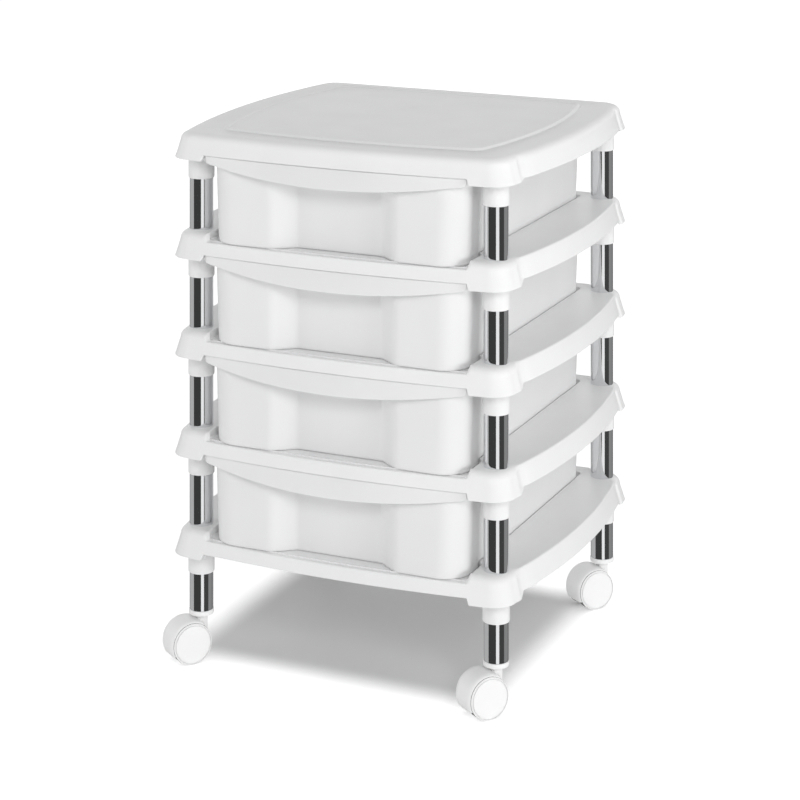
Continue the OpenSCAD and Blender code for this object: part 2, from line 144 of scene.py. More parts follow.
# %% A stack of rings
def ring_stack(name, rings):
    """A closed skin through rings of equal length, each a list of (x, y, z) in mm."""
    nothing_selected()
    bpy.ops.mesh.primitive_circle_add(vertices=len(rings[0]), radius=0.1, fill_type="NGON")
    piece = bpy.context.object
    piece.name = name
    bpy.ops.object.mode_set(mode="EDIT")
    bpy.ops.mesh.select_mode(type="VERT")
    mesh = bmesh.from_edit_mesh(piece.data)
    spot = mesh.verts.layers.int.new("spot")
    mesh.verts.ensure_lookup_table()
    for i, point in enumerate(mesh.verts):
        point[spot] = i
        point.co = Vector(rings[0][i]) * MM
    bmesh.update_edit_mesh(piece.data)
    for ring in rings[1:]:
        bpy.ops.mesh.extrude_edges_move(TRANSFORM_OT_translate={"value": (0, 0, 0.001)})
        mesh = bmesh.from_edit_mesh(piece.data)
        spot = mesh.verts.layers.int["spot"]
        for point in mesh.verts:
            if point.select:
                point.co = Vector(ring[point[spot]]) * MM
        bmesh.update_edit_mesh(piece.data)
    bpy.ops.mesh.edge_face_add()
    close_up(piece)
    piece.data.attributes.remove(piece.data.attributes["spot"])
    return piece


# %% A turned piece
def turned(name, section, steps=64):
    """Spins a closed section of (radius, height) in mm once round the Z axis."""
    nothing_selected()
    bpy.ops.mesh.primitive_circle_add(vertices=len(section), radius=0.1)
    piece = bpy.context.object
    piece.name = name
    for i, (r, z) in enumerate(section):
        piece.data.vertices[i].co = (r * MM, 0, z * MM)
    bpy.ops.object.mode_set(mode="EDIT")
    bpy.ops.mesh.select_all(action="SELECT")
    bpy.ops.mesh.spin(steps=steps, angle=2 * pi, center=(0, 0, 0), axis=(0, 0, 1))
    return close_up(piece)


# %% Placing, copying and joining
def placed(piece, turn=0, at=(0, 0, 0), tip=None):
    """Tips a piece over X, turns it over Z and moves it (mm), all applied to its mesh."""
    pick(piece)
    tipped = Matrix.Rotation(radians(tip), 4, "X") if tip else Matrix.Identity(4)
    piece.matrix_world = (
        Matrix.Translation(Vector(at) * MM) @ Matrix.Rotation(radians(turn), 4, "Z") @ tipped
    )
    bpy.ops.object.transform_apply(location=True, rotation=True, scale=True)
    return piece


def copied(piece, name):
    """A copy with a mesh of its own."""
    new = piece.copy()
    new.data = piece.data.copy()
    new.name = name
    bpy.context.scene.collection.objects.link(new)
    return new


def joined(name, pieces):
    """Makes one piece of several."""
    pick(pieces[0])
    for part in pieces[1:]:
        part.select_set(True)
    bpy.ops.object.join()
    pieces[0].name = name
    return pieces[0]


def plank(name, low, high, lean=(0, 0)):
    """A flat rib between two corners in mm, whose lower outer edge leans out."""
    nothing_selected()
    bpy.ops.mesh.primitive_cube_add(size=1)
    piece = bpy.context.object
    piece.name = name
    for point in piece.data.vertices:
        place = [low[i] if point.co[i] < 0 else high[i] for i in range(3)]
        for i in (0, 1):
            outermost = abs(place[i]) == max(abs(low[i]), abs(high[i]))
            if point.co.z < 0 and outermost and place[i] * lean[i] > 0:
                place[i] += lean[i]
        point.co = Vector(place) * MM
    bpy.ops.object.mode_set(mode="EDIT")
    bpy.ops.mesh.select_all(action="SELECT")
    bpy.ops.mesh.bevel(offset=0.0003, segments=1)
    return close_up(piece)


# %% Soft corners in a section
def soft_corners(points, radii, steps):
    """Rounds the inner corners of an open path in space; every corner gets steps + 1 points."""
    path = [Vector(points[0])]
    for i in range(1, len(points) - 1):
        before, here, after = (Vector(p) for p in points[i - 1:i + 2])
        reach = [min(radii[i - 1], 0.45 * (other - here).length) for other in (before, after)]
        start = here + (before - here).normalized() * reach[0] if reach[0] > 1e-6 else here
        end = here + (after - here).normalized() * reach[1] if reach[1] > 1e-6 else here
        for k in range(steps + 1):
            t = k / steps
            path.append(start * (1 - t) ** 2 + here * 2 * t * (1 - t) + end * t ** 2)
    path.append(Vector(points[-1]))
    return path


def ease(value, start, end):
    """A smooth step from 0 at start to 1 at end."""
    t = min(max((value - start) / (end - start), 0), 1)
    return t * t * (3 - 2 * t)


# %% [markdown]
# ## The outline of a tray
# Seen from above, a tray has bowed sides, a bowed front, a straight rear and round corners. The
# skirt under the edge leans out and is deeper at the corners, where blocks hold the tubes. All
# trays share this outline, so its places are listed once. They crowd together where the skirt
# changes its depth, so that these small steps come out round.
# %% Places round the outline
TOP_HALF_X, TOP_FRONT, TOP_REAR, CORNER_R = 176, 174, 172, 15
BOW_SIDE, BOW_FRONT = 16, 10.5
CORNER_STEPS = 12
EDGE_W, EDGE_H, SLOPE = 9.5, 8, 0.28


def both_ways(shares):
    """The shares from -1 to 1, mirrored at 0."""
    return sorted({-s for s in shares} | set(shares))


FRONT_SHARES = both_ways(
    [i * 0.88 / 18 for i in range(18)] + [0.88 + i * 0.005 for i in range(16)] + [0.965, 0.98, 0.99]
)
SIDE_SHARES = both_ways(
    [i * 0.93 / 22 for i in range(22)] + [0.93 + i * 0.005 for i in range(13)] + [0.996]
)
CORNER_SHARES = [i / CORNER_STEPS for i in range(CORNER_STEPS + 1)]
spots = []
for side, corner, shares in (
    ("front", "fr", FRONT_SHARES), ("right", "rr", SIDE_SHARES),
    ("rear", "rl", FRONT_SHARES), ("left", "fl", SIDE_SHARES),
):
    spots += [(side, t) for t in shares] + [(corner, t) for t in CORNER_SHARES]
ARCS = {"fr": (1, -1, -90), "rr": (1, 1, 0), "rl": (-1, 1, 90), "fl": (-1, -1, 180)}
print(len(spots), "places round a tray")


def edge_point(spot, half_x, front, rear, r):
    """The point of a bowed outline at one place, counter-clockwise from the front."""
    side, t = spot
    mid, half = (rear - front) / 2, (rear + front) / 2 - r
    if side == "front":
        return t * (half_x - r), -front - BOW_FRONT * (1 - t * t)
    if side == "right":
        return half_x + BOW_SIDE * (1 - t * t), mid + t * half
    if side == "rear":
        return -t * (half_x - r), rear
    if side == "left":
        return -half_x - BOW_SIDE * (1 - t * t), mid - t * half
    sx, sy, start = ARCS[side]
    angle = radians(start + 90 * t)
    centre_y = rear - r if sy > 0 else r - front
    return sx * (half_x - r) + r * cos(angle), centre_y + r * sin(angle)


def tray_edge(spot, spread):
    """A tray's outline, spread outwards."""
    return edge_point(
        spot, TOP_HALF_X + spread, TOP_FRONT + spread, TOP_REAR + spread, CORNER_R + spread * 2 / 3
    )


def skirt_spread(drop):
    """How far the outside has spread below the top."""
    if drop < EDGE_H:
        return EDGE_W * sin(acos(1 - drop / EDGE_H))
    return EDGE_W + (drop - EDGE_H) * SLOPE


# %% [markdown]
# ## The skirt
# Every tray has the same skirt with a soft lower edge. The front between the blocks is cut down to
# the floor of the drawer's channel, so that the drawer slides out over it, and the block's end
# rises from there in a short round slope. The blocks are well rounded at the top, while the sides
# and the rear between them have a crisp upper edge, and a shallow crease marks where each block
# ends. A column of points is worked out for each place of the outline: first the inner wall, then
# the lower edge, then the outside.
# %% Columns of the skirt
BLOCK_H, FRONT_H, TRAY_SIDE_H, LID_SIDE_H, WALL = 27, 20.7, 21, 24, 2.5
CHANNEL_H, MOUTH_X, CHANNEL_X, CHANNEL_REAR, CHANNEL_R = 7.7, 147.5, 141.8, 161, 8
FRONT_ROUND, CRISP_H, CRISP_W = 1.3, 2.2, 2.4
CREASE_AT, CREASE_DEPTH, CREASE_OUTER, CREASE_INNER = 149.5, 2, 3.4, 9


class Place:
    """What a tray's section needs to know at one place of the outline."""

    def __init__(self, spot, side_h, has_channel):
        self.spot = spot
        x, y = tray_edge(spot, skirt_spread(LID_SIDE_H))
        front = spot[0] == "front"
        base = FRONT_H if front else side_h
        block = ease(abs(x), 147.8, 150.5) * ease(abs(y), 148.2, 150.8)
        self.depth = base + (BLOCK_H - base) * block
        self.full = 1 if not (front and has_channel) else ease(abs(x), 147, 151.5)
        self.top = -CHANNEL_H * (1 - self.full)
        between_blocks = 1 - ease(abs(x), 146, 151) * ease(abs(y), 147, 153)
        self.crisp = between_blocks if has_channel and not front else 0
        corner_h = EDGE_H - (EDGE_H - CRISP_H) * self.crisp
        corner_w = EDGE_W - (EDGE_W - CRISP_W) * self.crisp
        self.round_h = FRONT_ROUND + (corner_h - FRONT_ROUND) * self.full
        self.round_w = FRONT_ROUND + (corner_w - FRONT_ROUND) * self.full
        self.shoulder = self.outside(self.round_h - self.top)
        crease = (abs(x) if spot[0] == "rear" else abs(y)) - CREASE_AT
        fade = CREASE_OUTER if crease > 0 else CREASE_INNER
        self.dent = 0 if front else CREASE_DEPTH * exp(-(crease / fade) ** 2)

    def outside(self, drop):
        """The outside's spread below the top: round at the blocks, straight up to a crisp edge."""
        straight = EDGE_W + (drop - EDGE_H) * SLOPE
        return skirt_spread(drop) * (1 - self.crisp) + straight * self.crisp

    def at(self, spread, z):
        """The point at a height, drawn in a little where the crease runs."""
        return (*tray_edge(self.spot, spread - self.dent * ease(-z, 0.5, 5)), z)

    def skirt(self):
        """From the top of the inner wall, down and round the lower edge, up to the top's edge."""
        low, foot = -self.depth, skirt_spread(self.depth)
        inner = skirt_spread(WALL + 4 - self.top) - WALL
        column = [self.at(inner - 1.5, self.top - WALL), self.at(inner, self.top - WALL - 2)]
        column += [self.at(foot - WALL, low + 0.4), self.at(foot - WALL + 0.4, low)]
        column += [self.at(foot - 0.7, low), self.at(foot - 0.2, low + 0.2)]
        column.append(self.at(foot, low + 0.7))
        start = self.top - self.round_h
        for share in (0.35, 0.7):
            z = (low + 0.7) * (1 - share) + start * share
            column.append(self.at(self.outside(-z), z))
        for a in (90, 78, 66, 54, 42, 30, 18, 8, 0):
            turn = radians(a)
            spread = self.shoulder - self.round_w * (1 - sin(turn))
            column.append(self.at(spread, self.top - self.round_h * (1 - cos(turn))))
        column.append(self.at(self.shoulder - self.round_w - 0.5, self.top))
        return column


print("skirt column:", len(Place(spots[0], TRAY_SIDE_H, True).skirt()), "points")

# %% [markdown]
# ## The channel that a drawer runs in
# Inside the edge the tray's top is a flat land, and then a shallow channel with a rounded rim.
# Its wall follows a rounded rectangle, open to the front. For each place of the outline the
# nearest point of that rectangle is found, so the land becomes an even band of faces.
# %% Columns of the channel
def channel_point(place, out):
    """The channel's edge nearest to a place of the outline, moved outwards."""
    x, y = tray_edge(place.spot, 0)
    side = 1 if x > 0 else -1
    half = MOUTH_X - (MOUTH_X - CHANNEL_X) * ease(y, -149, -145)
    centre_x, centre_y = half - CHANNEL_R, CHANNEL_REAR - CHANNEL_R
    dx, dy = abs(x) - centre_x, y - centre_y
    if dx > 0 and dy > 0:
        turn, r = atan2(dy, dx), CHANNEL_R + out
        return side * (centre_x + r * cos(turn)), centre_y + r * sin(turn)
    if place.spot[0] == "front" and place.full < 1:
        edge_y = tray_edge(place.spot, place.shoulder - place.round_w)[1]
        return side * (min(abs(x), half) + out * place.full), edge_y + (5 - out) * (1 - place.full)
    if dy > 0 and dy >= dx:
        return x, CHANNEL_REAR + out
    return side * (half + out), y


def channel_column(place):
    """From the flat land over the rounded rim and down to the channel's floor."""
    deep = CHANNEL_H + place.top
    steps = [(1.6, 0), (1.0, 0), (0.5, 0.13), (0.13, 0.5), (0, 1.0)]
    steps += [(0, deep - 1.2), (-0.16, deep - 0.6), (-0.6, deep - 0.16), (-1.2, deep)]
    column = [(*channel_point(place, out), place.top - min(drop, deep)) for out, drop in steps]
    return column + [(*channel_point(place, -1.8), -CHANNEL_H)]


# %% [markdown]
# ## A shelf tray
# Under the tray the channel shows as a tub between ribs, and short collars reach down over the
# tubes. The collars are turned pieces, and the ribs are thin planks that stop inside the skirt.
# %% Collars and ribs
BLOCK_FOOT, BLOCK_HEAD, LEAN, RIB_HALF, RIB_H = -26.7, -4, 6, 0.8, 6


def collar(x, y):
    """The sleeve over a tube, below its block, with the thicker wall inside the block."""
    ring = turned("collar", [
        (12.55, -50), (12.95, -50), (13.35, -49.85), (13.65, -49.5), (13.75, -49), (13.75, -27.2),
        (15.4, -27), (15.55, -26.6), (15.55, -3), (12.55, -3),
    ])
    return placed(ring, at=(x, y, 0))


def understructure(rib_top, rib_reach):
    """Collars, block walls and ribs, placed from the middle of the tubes."""
    parts = []
    for corner in CORNERS:
        x, y = tube_at[corner][0], tube_at[corner][1] - middle_y
        sx, sy = (1 if x > 0 else -1), (1 if y > 0 else -1)
        parts.append(collar(x, y))
        block_walls = (
            ("block_end", (147.6, 149.1), (156, 179 if sy < 0 else 176), (0, sy * LEAN)),
            ("block_side", (164, 181), (148.6, 150.1), (sx * LEAN, 0)),
        )
        for name, along_x, along_y, lean in block_walls:
            (x0, x1), (y0, y1) = sorted(sx * v for v in along_x), sorted(sy * v for v in along_y)
            parts.append(plank(name, (x0, y0, BLOCK_FOOT), (x1, y1, BLOCK_HEAD), lean))
    ribs = [((x - RIB_HALF, -rib_reach), (x + RIB_HALF, rib_reach - 6)) for x in (-72.5, 0, 72.5)]
    ribs += [((-147, y - RIB_HALF), (147, y + RIB_HALF)) for y in (-78.75, 0, 78.75)]
    for start, end in ribs:
        parts.append(plank("rib", (*start, rib_top - RIB_H), (*end, rib_top + 0.3)))
    return parts


# %% Build the shelf tray
def shelf_tray():
    """The shell of a tray with its collars and ribs."""
    tub_foot = -CHANNEL_H - WALL
    columns = []
    for spot in spots:
        place = Place(spot, TRAY_SIDE_H, True)
        under = [(*channel_point(place, out), tub_foot) for out in (1.9, 2.5)]
        under.append((*channel_point(place, 2.5), place.top - WALL))
        columns.append(under + place.skirt() + channel_column(place))
    shell = ring_stack("shelf_tray", [list(ring) for ring in zip(*columns)])
    return joined("shelf_tray", [shell] + understructure(tub_foot, 183))


first_tray = shelf_tray()

# %% [markdown]
# ## The lid
# The lid is a tray without a channel. Its raised panel has a round ridge along its border, with a
# fine groove on both sides of it, and near its middle the small mark that moulding leaves.
# %% Build the lid
PANEL_X, PANEL_FRONT, PANEL_REAR, PANEL_R = 149, 150, 148, 14


def panel_point(place, inset, z):
    """The panel's border, moved in, at a height over the lid's top."""
    half_x, front, rear = (half - inset for half in (PANEL_X, PANEL_FRONT, PANEL_REAR))
    return (*edge_point(place.spot, half_x, front, rear, PANEL_R - inset / 2), z)


def lid():
    """The shell of the lid with its gate mark, collars and ribs."""
    border = [
        (-1.4, 0), (-0.9, -0.2), (-0.4, -0.28), (0, -0.15), (0.4, 0.3), (0.9, 1.2),
        (1.4, 1.95), (2.0, 2.35), (2.7, 2.45), (3.4, 2.3), (4.0, 1.85), (4.6, 1.3),
        (5.3, 1.02), (6.1, 1.05), (7.2, 1.3), (8.6, 1.4),
    ]
    columns = []
    for spot in spots:
        place = Place(spot, LID_SIDE_H, False)
        under = [panel_point(place, 1.0, -WALL), panel_point(place, 0, -WALL)]
        top = [panel_point(place, inset, z) for inset, z in border]
        columns.append(under + place.skirt() + top)
    shell = ring_stack("lid", [list(ring) for ring in zip(*columns)])
    mark = turned("gate_mark", [
        (0, 1.0), (7.5, 1.0), (7, 1.42), (5.6, 1.5), (4.2, 1.8), (3.4, 1.85), (2.6, 1.6),
        (1.6, 1.45), (0, 1.43),
    ], 32)
    return joined("lid", [shell, placed(mark, at=(-15, 50, 0))] + understructure(-WALL, 176))


finished_lid = lid()

# %% [markdown]
# ## A drawer
# The drawer is one thin tub. Its front wall is waved: two round lobes with a flat hollow between
# them for the fingers. A pull lip hangs over the hollow like a shallow visor, and a small bead
# runs round the rest of the rim. Foot, wall, rim and inside are one stack of rings, so the lip
# grows out of the wall without a seam. The rim is drawn with sharp corners first, and each column
# then has them softened.
# %% Places round a drawer
DRAWER_H, DRAWER_FOOT_X, DRAWER_TOP_X = 89.9, 140.8, 144
DRAWER_FRONT, DRAWER_REAR_FOOT, DRAWER_REAR_TOP = 187.5, 157.75, 159.5
FRONT_R, REAR_R, FLOOR_R, DRAWER_WALL = 28, 18, 2.2, 2.2
HOLLOW_DEPTH, HOLLOW_FLAT, HOLLOW_END, HOLLOW_EDGE = 17, 46, 74, 0.8
BEAD_W, LIP_T, LIP_END_H, LIP_DROP = 1, 2.5, 8, 12
LIP_HALF, LIP_FRONT, LIP_BULGE, LIP_TOP_BULGE, LIP_END_AT = 146, 186.5, 18, 8, 0.985
LIP_ROOT = DRAWER_TOP_X - FRONT_R * (1 - sin(radians(54)))
ARC_STEPS = [0, 7, 14, 21, 28, 33, 35.5, 36, 37.2, 39, 43, 48, 54, 60, 66, 72, 78, 84, 90]
drawer_spots = (
    [("rear", 0)]
    + [("rl", 90 * i / 12) for i in range(13)]
    + [("fl", a) for a in ARC_STEPS]
    + [("front", 2 * i / 90 - 1) for i in range(1, 90)]
    + [("fr", 90 - a) for a in reversed(ARC_STEPS)]
    + [("rr", 90 * i / 12) for i in range(13)]
)


def tub_point(spot, z, inset=0):
    """A point of the drawer's wall at a height, moved inwards."""
    rise = z / DRAWER_H
    half = DRAWER_FOOT_X + (DRAWER_TOP_X - DRAWER_FOOT_X) * rise - inset
    rear = DRAWER_REAR_FOOT + (DRAWER_REAR_TOP - DRAWER_REAR_FOOT) * rise - inset
    front, front_r, rear_r = DRAWER_FRONT - inset, FRONT_R - inset / 2, REAR_R - inset / 2
    side, t = spot
    if side == "rear":
        return Vector((0, rear, z))
    if side == "front":
        x = t * (half - front_r)
        hollow = 1 - ease(abs(x), HOLLOW_FLAT, HOLLOW_END) ** HOLLOW_EDGE
        return Vector((x, -front + HOLLOW_DEPTH * hollow, z))
    start = {"rl": 90, "fl": 180, "fr": 270, "rr": 0}[side]
    sx = -1 if side[1] == "l" else 1
    r = front_r if side[0] == "f" else rear_r
    centre_y = r - front if side[0] == "f" else rear - r
    turn = radians(start + t)
    return Vector((sx * (half - r) + r * cos(turn), centre_y + r * sin(turn), z))


# %% The rim and the pull lip
def rim_column(spot):
    """The rim's section at one place: under the bead, round it, and over to the inner wall."""
    wall = tub_point(spot, DRAWER_H)
    below = tub_point(spot, DRAWER_H - LIP_T)
    inner = tub_point(spot, DRAWER_H, DRAWER_WALL)
    deeper = tub_point(spot, DRAWER_H - 5, DRAWER_WALL)
    if wall.y < 0 and abs(wall.x) < LIP_ROOT + 0.1:
        u = wall.x / LIP_ROOT
        swell = 1 - u * u
        end = max(abs(u) - LIP_END_AT, 0) / (1 - LIP_END_AT)
        height = (LIP_END_H + LIP_DROP * swell) * (1 - 0.25 * (1 - sqrt(max(1 - end * end, 0))))

        def lip(low, thick):
            """A corner of the lip's section: its foot or its top, outside or inside."""
            out = LIP_FRONT + (LIP_BULGE if low else LIP_TOP_BULGE) * swell - thick
            down = height if low else thick
            return Vector((u * (LIP_HALF - thick), min(-out, wall.y - 0.3), DRAWER_H - down))

        corners = [below, lip(False, LIP_T), lip(True, LIP_T), lip(True, 0), lip(False, 0)]
        corners += [inner, deeper]
    else:
        bead = [(0.6, 1), (1, 0.75), (1, 0.25), (0.6, 0)]
        corners = [below]
        corners += [tub_point(spot, DRAWER_H - LIP_T * down, -BEAD_W * out) for out, down in bead]
        corners += [inner, deeper]
    return soft_corners(corners, (1.2, 1.1, 1.1, 1.2, 0.8), 4)


# %% Build the drawer
def drawer():
    """The whole tub as one stack of rings, from the foot's middle to the middle of the inside."""
    inner_r = FLOOR_R - DRAWER_WALL / 2
    columns = []
    for spot in drawer_spots:
        column = [tub_point(spot, 0, FLOOR_R + 0.6)]
        for a in (0, 12, 24, 36, 48, 60, 72, 84, 90):
            turn = radians(a)
            column.append(tub_point(spot, FLOOR_R * (1 - cos(turn)), FLOOR_R * (1 - sin(turn))))
        column += [tub_point(spot, z) for z in (20, 45, 70, 84)]
        column += rim_column(spot)
        column += [tub_point(spot, z, DRAWER_WALL) for z in (60, 30)]
        for a in (90, 72, 54, 36, 18, 0):
            turn = radians(a)
            z, inset = (DRAWER_WALL + inner_r * (1 - part) for part in (cos(turn), sin(turn)))
            column.append(tub_point(spot, z, inset))
        column.append(tub_point(spot, DRAWER_WALL, DRAWER_WALL + inner_r + 0.6))
        columns.append(column)
    return ring_stack("drawer", [list(ring) for ring in zip(*columns)])


first_drawer = drawer()

# %% [markdown]
# ## Tubes, plugs and stems
# The tubes are thin chromed steel. The legs are shorter and end in a plastic plug, which holds
# the caster's stem. All are turned pieces with a fine chamfer where the eye meets an edge.
# %% Turn the tubes and plugs
def tube(name, length):
    """A tube on Z, standing on the ground, with a thin wall at its ends."""
    return turned(name, [
        (11.5, 0.4), (11.8, 0), (12.2, 0), (12.5, 0.4), (12.5, 8), (12.5, length - 8),
        (12.5, length - 0.4), (12.2, length), (11.8, length), (11.5, length - 0.4),
    ], 96)


leg_plug = turned("leg_plug", [
    (4.05, 47), (11.6, 47), (12.4, 47.15), (12.9, 47.5), (13.1, 48.1), (13.1, 51), (13.0, 51.6),
    (12.6, 52), (11.45, 52), (11.45, 73), (10.45, 74), (4.05, 74),
], 72)
caster_stem = turned("caster_stem", [
    (0, 24.5), (3.5, 24.5), (4, 25), (4, 45.8), (4.3, 46), (5.3, 46), (5.5, 46.2), (5.5, 47),
    (4, 47), (4, 71), (3, 72), (0, 72),
], 48)
wheel_axle = turned("wheel_axle", [
    (0, -13.4), (2.6, -13.4), (3, -13), (3, 13), (2.6, 13.4), (0, 13.4),
], 32)

# %% [markdown]
# ## The casters
# A caster has a white hood that bends over two wheels like a mudguard, with a web between them
# that carries the axle. The hood's section is drawn on the axle's plane and swept round the axle
# as a stack of rings. Its shoulders are well rounded, which gives the full, soft shape. The neck
# above it turns round the stem. Everything is made with the stem on the Z axis and the wheels
# trailing along +X.
# %% Sweep the hood
WHEEL_R, TRAIL = 21.5, 16
HOOD_IN, HOOD_OUT, HOOD_HALF, WEB_HALF = 22.1, 23.6, 14.5, 5.5
HOOD_LOW, HOOD_SWEEP, HOOD_STEPS = 28, 153, 40


def hood_section():
    """Half a hood's wall as (radius, place along the axle), mirrored to a closed section."""
    half = [(HOOD_OUT, 2.5)]
    for a in (90, 75, 60, 45, 30, 15, 0):
        turn = radians(a)
        half.append((HOOD_OUT - 2.3 * (1 - sin(turn)), HOOD_HALF - 7.5 * (1 - cos(turn))))
    half += [(HOOD_IN - 0.3, HOOD_HALF - 0.1), (HOOD_IN, HOOD_HALF - 1), (HOOD_IN, WEB_HALF + 1)]
    half += [(HOOD_IN - 1, WEB_HALF), (10, WEB_HALF), (5, WEB_HALF)]
    return half + [(r, -w) for r, w in reversed(half)]


def caster_hood():
    """The hood's cover with its neck and the hub that holds the axle."""
    section = hood_section()
    rings = []
    for step in range(HOOD_STEPS + 1):
        a = radians(HOOD_LOW - HOOD_SWEEP * step / HOOD_STEPS)
        rings.append([(TRAIL + r * cos(a), w, WHEEL_R - r * sin(a)) for r, w in section])
    cover = ring_stack("hood_cover", rings)
    pick(cover)
    edge = cover.modifiers.new("soft_ends", "BEVEL")
    edge.width, edge.segments = 0.0004, 2
    edge.limit_method, edge.angle_limit = "ANGLE", radians(60)
    bpy.ops.object.modifier_apply(modifier="soft_ends")
    neck = turned("hood_neck", [
        (4.1, 24), (6.4, 24), (6.4, 43.6), (6.2, 44.4), (5.8, 44.9), (5.2, 45.1), (4.1, 45.1),
    ], 48)
    hub = turned("hood_hub", [
        (3.05, -5.3), (6.3, -5.3), (6.5, -5.1), (6.5, 5.1), (6.3, 5.3), (3.05, 5.3),
    ], 48)
    return joined("caster_hood", [cover, neck, placed(hub, tip=90, at=(TRAIL, 0, WHEEL_R))])


# %% Turn a wheel
def caster_wheel():
    """A wheel with its face up, from its inner side at 0 to its face at 10.4."""
    return turned("caster_wheel", [
        (0, 7.9), (3.05, 7.9), (3.05, 0.2), (3.2, 0), (5.9, 0), (6, 0.2), (6, 7.9), (18.5, 7.9),
        (18.5, 0.3), (18.8, 0), (20.6, 0), (21.2, 0.3), (21.5, 1), (21.5, 8.2), (21.35, 8.9),
        (21.1, 9.5), (20.7, 9.95), (20.2, 10.1), (20, 8.6), (19.1, 8.6), (19, 10.1),
        (18.6, 10.3), (15, 10.4), (0, 10.4),
    ], 96)


hood_model = caster_hood()
wheel_model = caster_wheel()

# %% [markdown]
# ## Plain plastic that doesn't look flat
# Moulded plastic has a fine skin: its tone drifts a little where it flowed, its gloss varies, and
# faint ripples run over it. One node group makes these three for all the plastics, each with its
# own amounts. It gives out a colour, a roughness and a height, and the shader stays outside.
# %% Moulded skin, shared by the plastics
def new_group(name, inputs, outputs):
    """An empty node group with named sockets: inputs are (name, kind, default)."""
    group = bpy.data.node_groups.new(name, "ShaderNodeTree")
    for title, kind, value in inputs:
        socket = group.interface.new_socket(name=title, in_out="INPUT", socket_type=kind)
        socket.default_value = value
    for title, kind in outputs:
        group.interface.new_socket(name=title, in_out="OUTPUT", socket_type=kind)
    return group, group.nodes.new("NodeGroupInput"), group.nodes.new("NodeGroupOutput")


def noise(nodes, links, place, scale, detail=3.0, stretch=None):
    """A noise pattern on the piece's own metres, stretched if asked."""
    texture = nodes.new("ShaderNodeTexNoise")
    texture.inputs["Scale"].default_value = scale
    texture.inputs["Detail"].default_value = detail
    source = place
    if stretch:
        mapping = nodes.new("ShaderNodeMapping")
        mapping.inputs["Scale"].default_value = stretch
        links.new(place, mapping.inputs["Vector"])
        source = mapping.outputs["Vector"]
    links.new(source, texture.inputs["Vector"])
    return texture.outputs["Fac"]


def mixed(nodes, links, kind, a, b, factor=None):
    """A math node; a and b are sockets or numbers."""
    node = nodes.new("ShaderNodeMath")
    node.operation = kind
    for i, value in enumerate((a, b) if factor is None else (a, b, factor)):
        if isinstance(value, (int, float)):
            node.inputs[i].default_value = value
        else:
            links.new(value, node.inputs[i])
    return node.outputs[0]


def colours_mixed(nodes, links, mask, a, b):
    """Mixes two colours by a mask; a and b are sockets or colours."""
    node = nodes.new("ShaderNodeMix")
    node.data_type = "RGBA"
    links.new(mask, node.inputs["Factor"])
    for title, value in (("A", a), ("B", b)):
        if isinstance(value, tuple):
            node.inputs[title].default_value = (*value, 1)
        else:
            links.new(value, node.inputs[title])
    return node.outputs["Result"]


COLOUR, NUMBER = "NodeSocketColor", "NodeSocketFloat"


def moulded_skin():
    """Tone, roughness and height of a moulded skin."""
    group, given, result = new_group(
        "moulded_skin",
        [("Colour", COLOUR, (1, 1, 1, 1)), ("Deep Colour", COLOUR, (1, 1, 1, 1)),
         ("Drift", NUMBER, 1.0), ("Gloss", NUMBER, 0.3), ("Gloss Spread", NUMBER, 0.1),
         ("Grain", NUMBER, 1.0)],
        [("Colour", COLOUR), ("Roughness", NUMBER), ("Height", NUMBER)],
    )
    nodes, links = group.nodes, group.links
    place = nodes.new("ShaderNodeTexCoord").outputs["Object"]
    broad = noise(nodes, links, place, 7.0, 2.0)
    flow = noise(nodes, links, place, 26.0, 3.0, (1.0, 1.0, 0.22))
    grain = noise(nodes, links, place, 900.0, 2.0)
    streaks = mixed(nodes, links, "MULTIPLY", flow, 0.4)
    drift = mixed(nodes, links, "MULTIPLY_ADD", broad, 0.6, streaks)
    spread = nodes.new("ShaderNodeMapRange")
    spread.inputs["From Min"].default_value = 0.3
    spread.inputs["From Max"].default_value = 0.7
    links.new(drift, spread.inputs["Value"])
    depth = mixed(nodes, links, "MULTIPLY", spread.outputs["Result"], given.outputs["Drift"])
    tone = colours_mixed(nodes, links, depth, given.outputs["Colour"], given.outputs["Deep Colour"])
    links.new(tone, result.inputs["Colour"])
    shift = mixed(nodes, links, "SUBTRACT", flow, 0.5)
    amount, middle = given.outputs["Gloss Spread"], given.outputs["Gloss"]
    rough = mixed(nodes, links, "MULTIPLY_ADD", shift, amount, middle)
    links.new(rough, result.inputs["Roughness"])
    fine = mixed(nodes, links, "MULTIPLY", grain, given.outputs["Grain"])
    links.new(mixed(nodes, links, "MULTIPLY_ADD", flow, 2.0, fine), result.inputs["Height"])
    return group


skin_group = moulded_skin()

# %% [markdown]
# ## Handled edges
# Dust and handling tone white plastic down very slightly, in patches, and leave faint clouds on
# metal. This second group gives a mask for that from noise, and every plastic, the tread and the
# metals use it with their own strength.
# %% Faint handling marks, shared
def handling_marks():
    """A mask of faint patches."""
    group, given, result = new_group(
        "handling_marks", [("Size", NUMBER, 14.0), ("Amount", NUMBER, 0.2)], [("Mask", NUMBER)]
    )
    nodes, links = group.nodes, group.links
    place = nodes.new("ShaderNodeTexCoord").outputs["Object"]
    patches = nodes.new("ShaderNodeTexNoise")
    patches.inputs["Detail"].default_value = 5.0
    links.new(given.outputs["Size"], patches.inputs["Scale"])
    links.new(place, patches.inputs["Vector"])
    cut = nodes.new("ShaderNodeMapRange")
    cut.inputs["From Min"].default_value = 0.45
    cut.inputs["From Max"].default_value = 0.85
    links.new(patches.outputs["Fac"], cut.inputs["Value"])
    mask = mixed(nodes, links, "MULTIPLY", cut.outputs["Result"], given.outputs["Amount"])
    links.new(mask, result.inputs["Mask"])
    return group


marks_group = handling_marks()


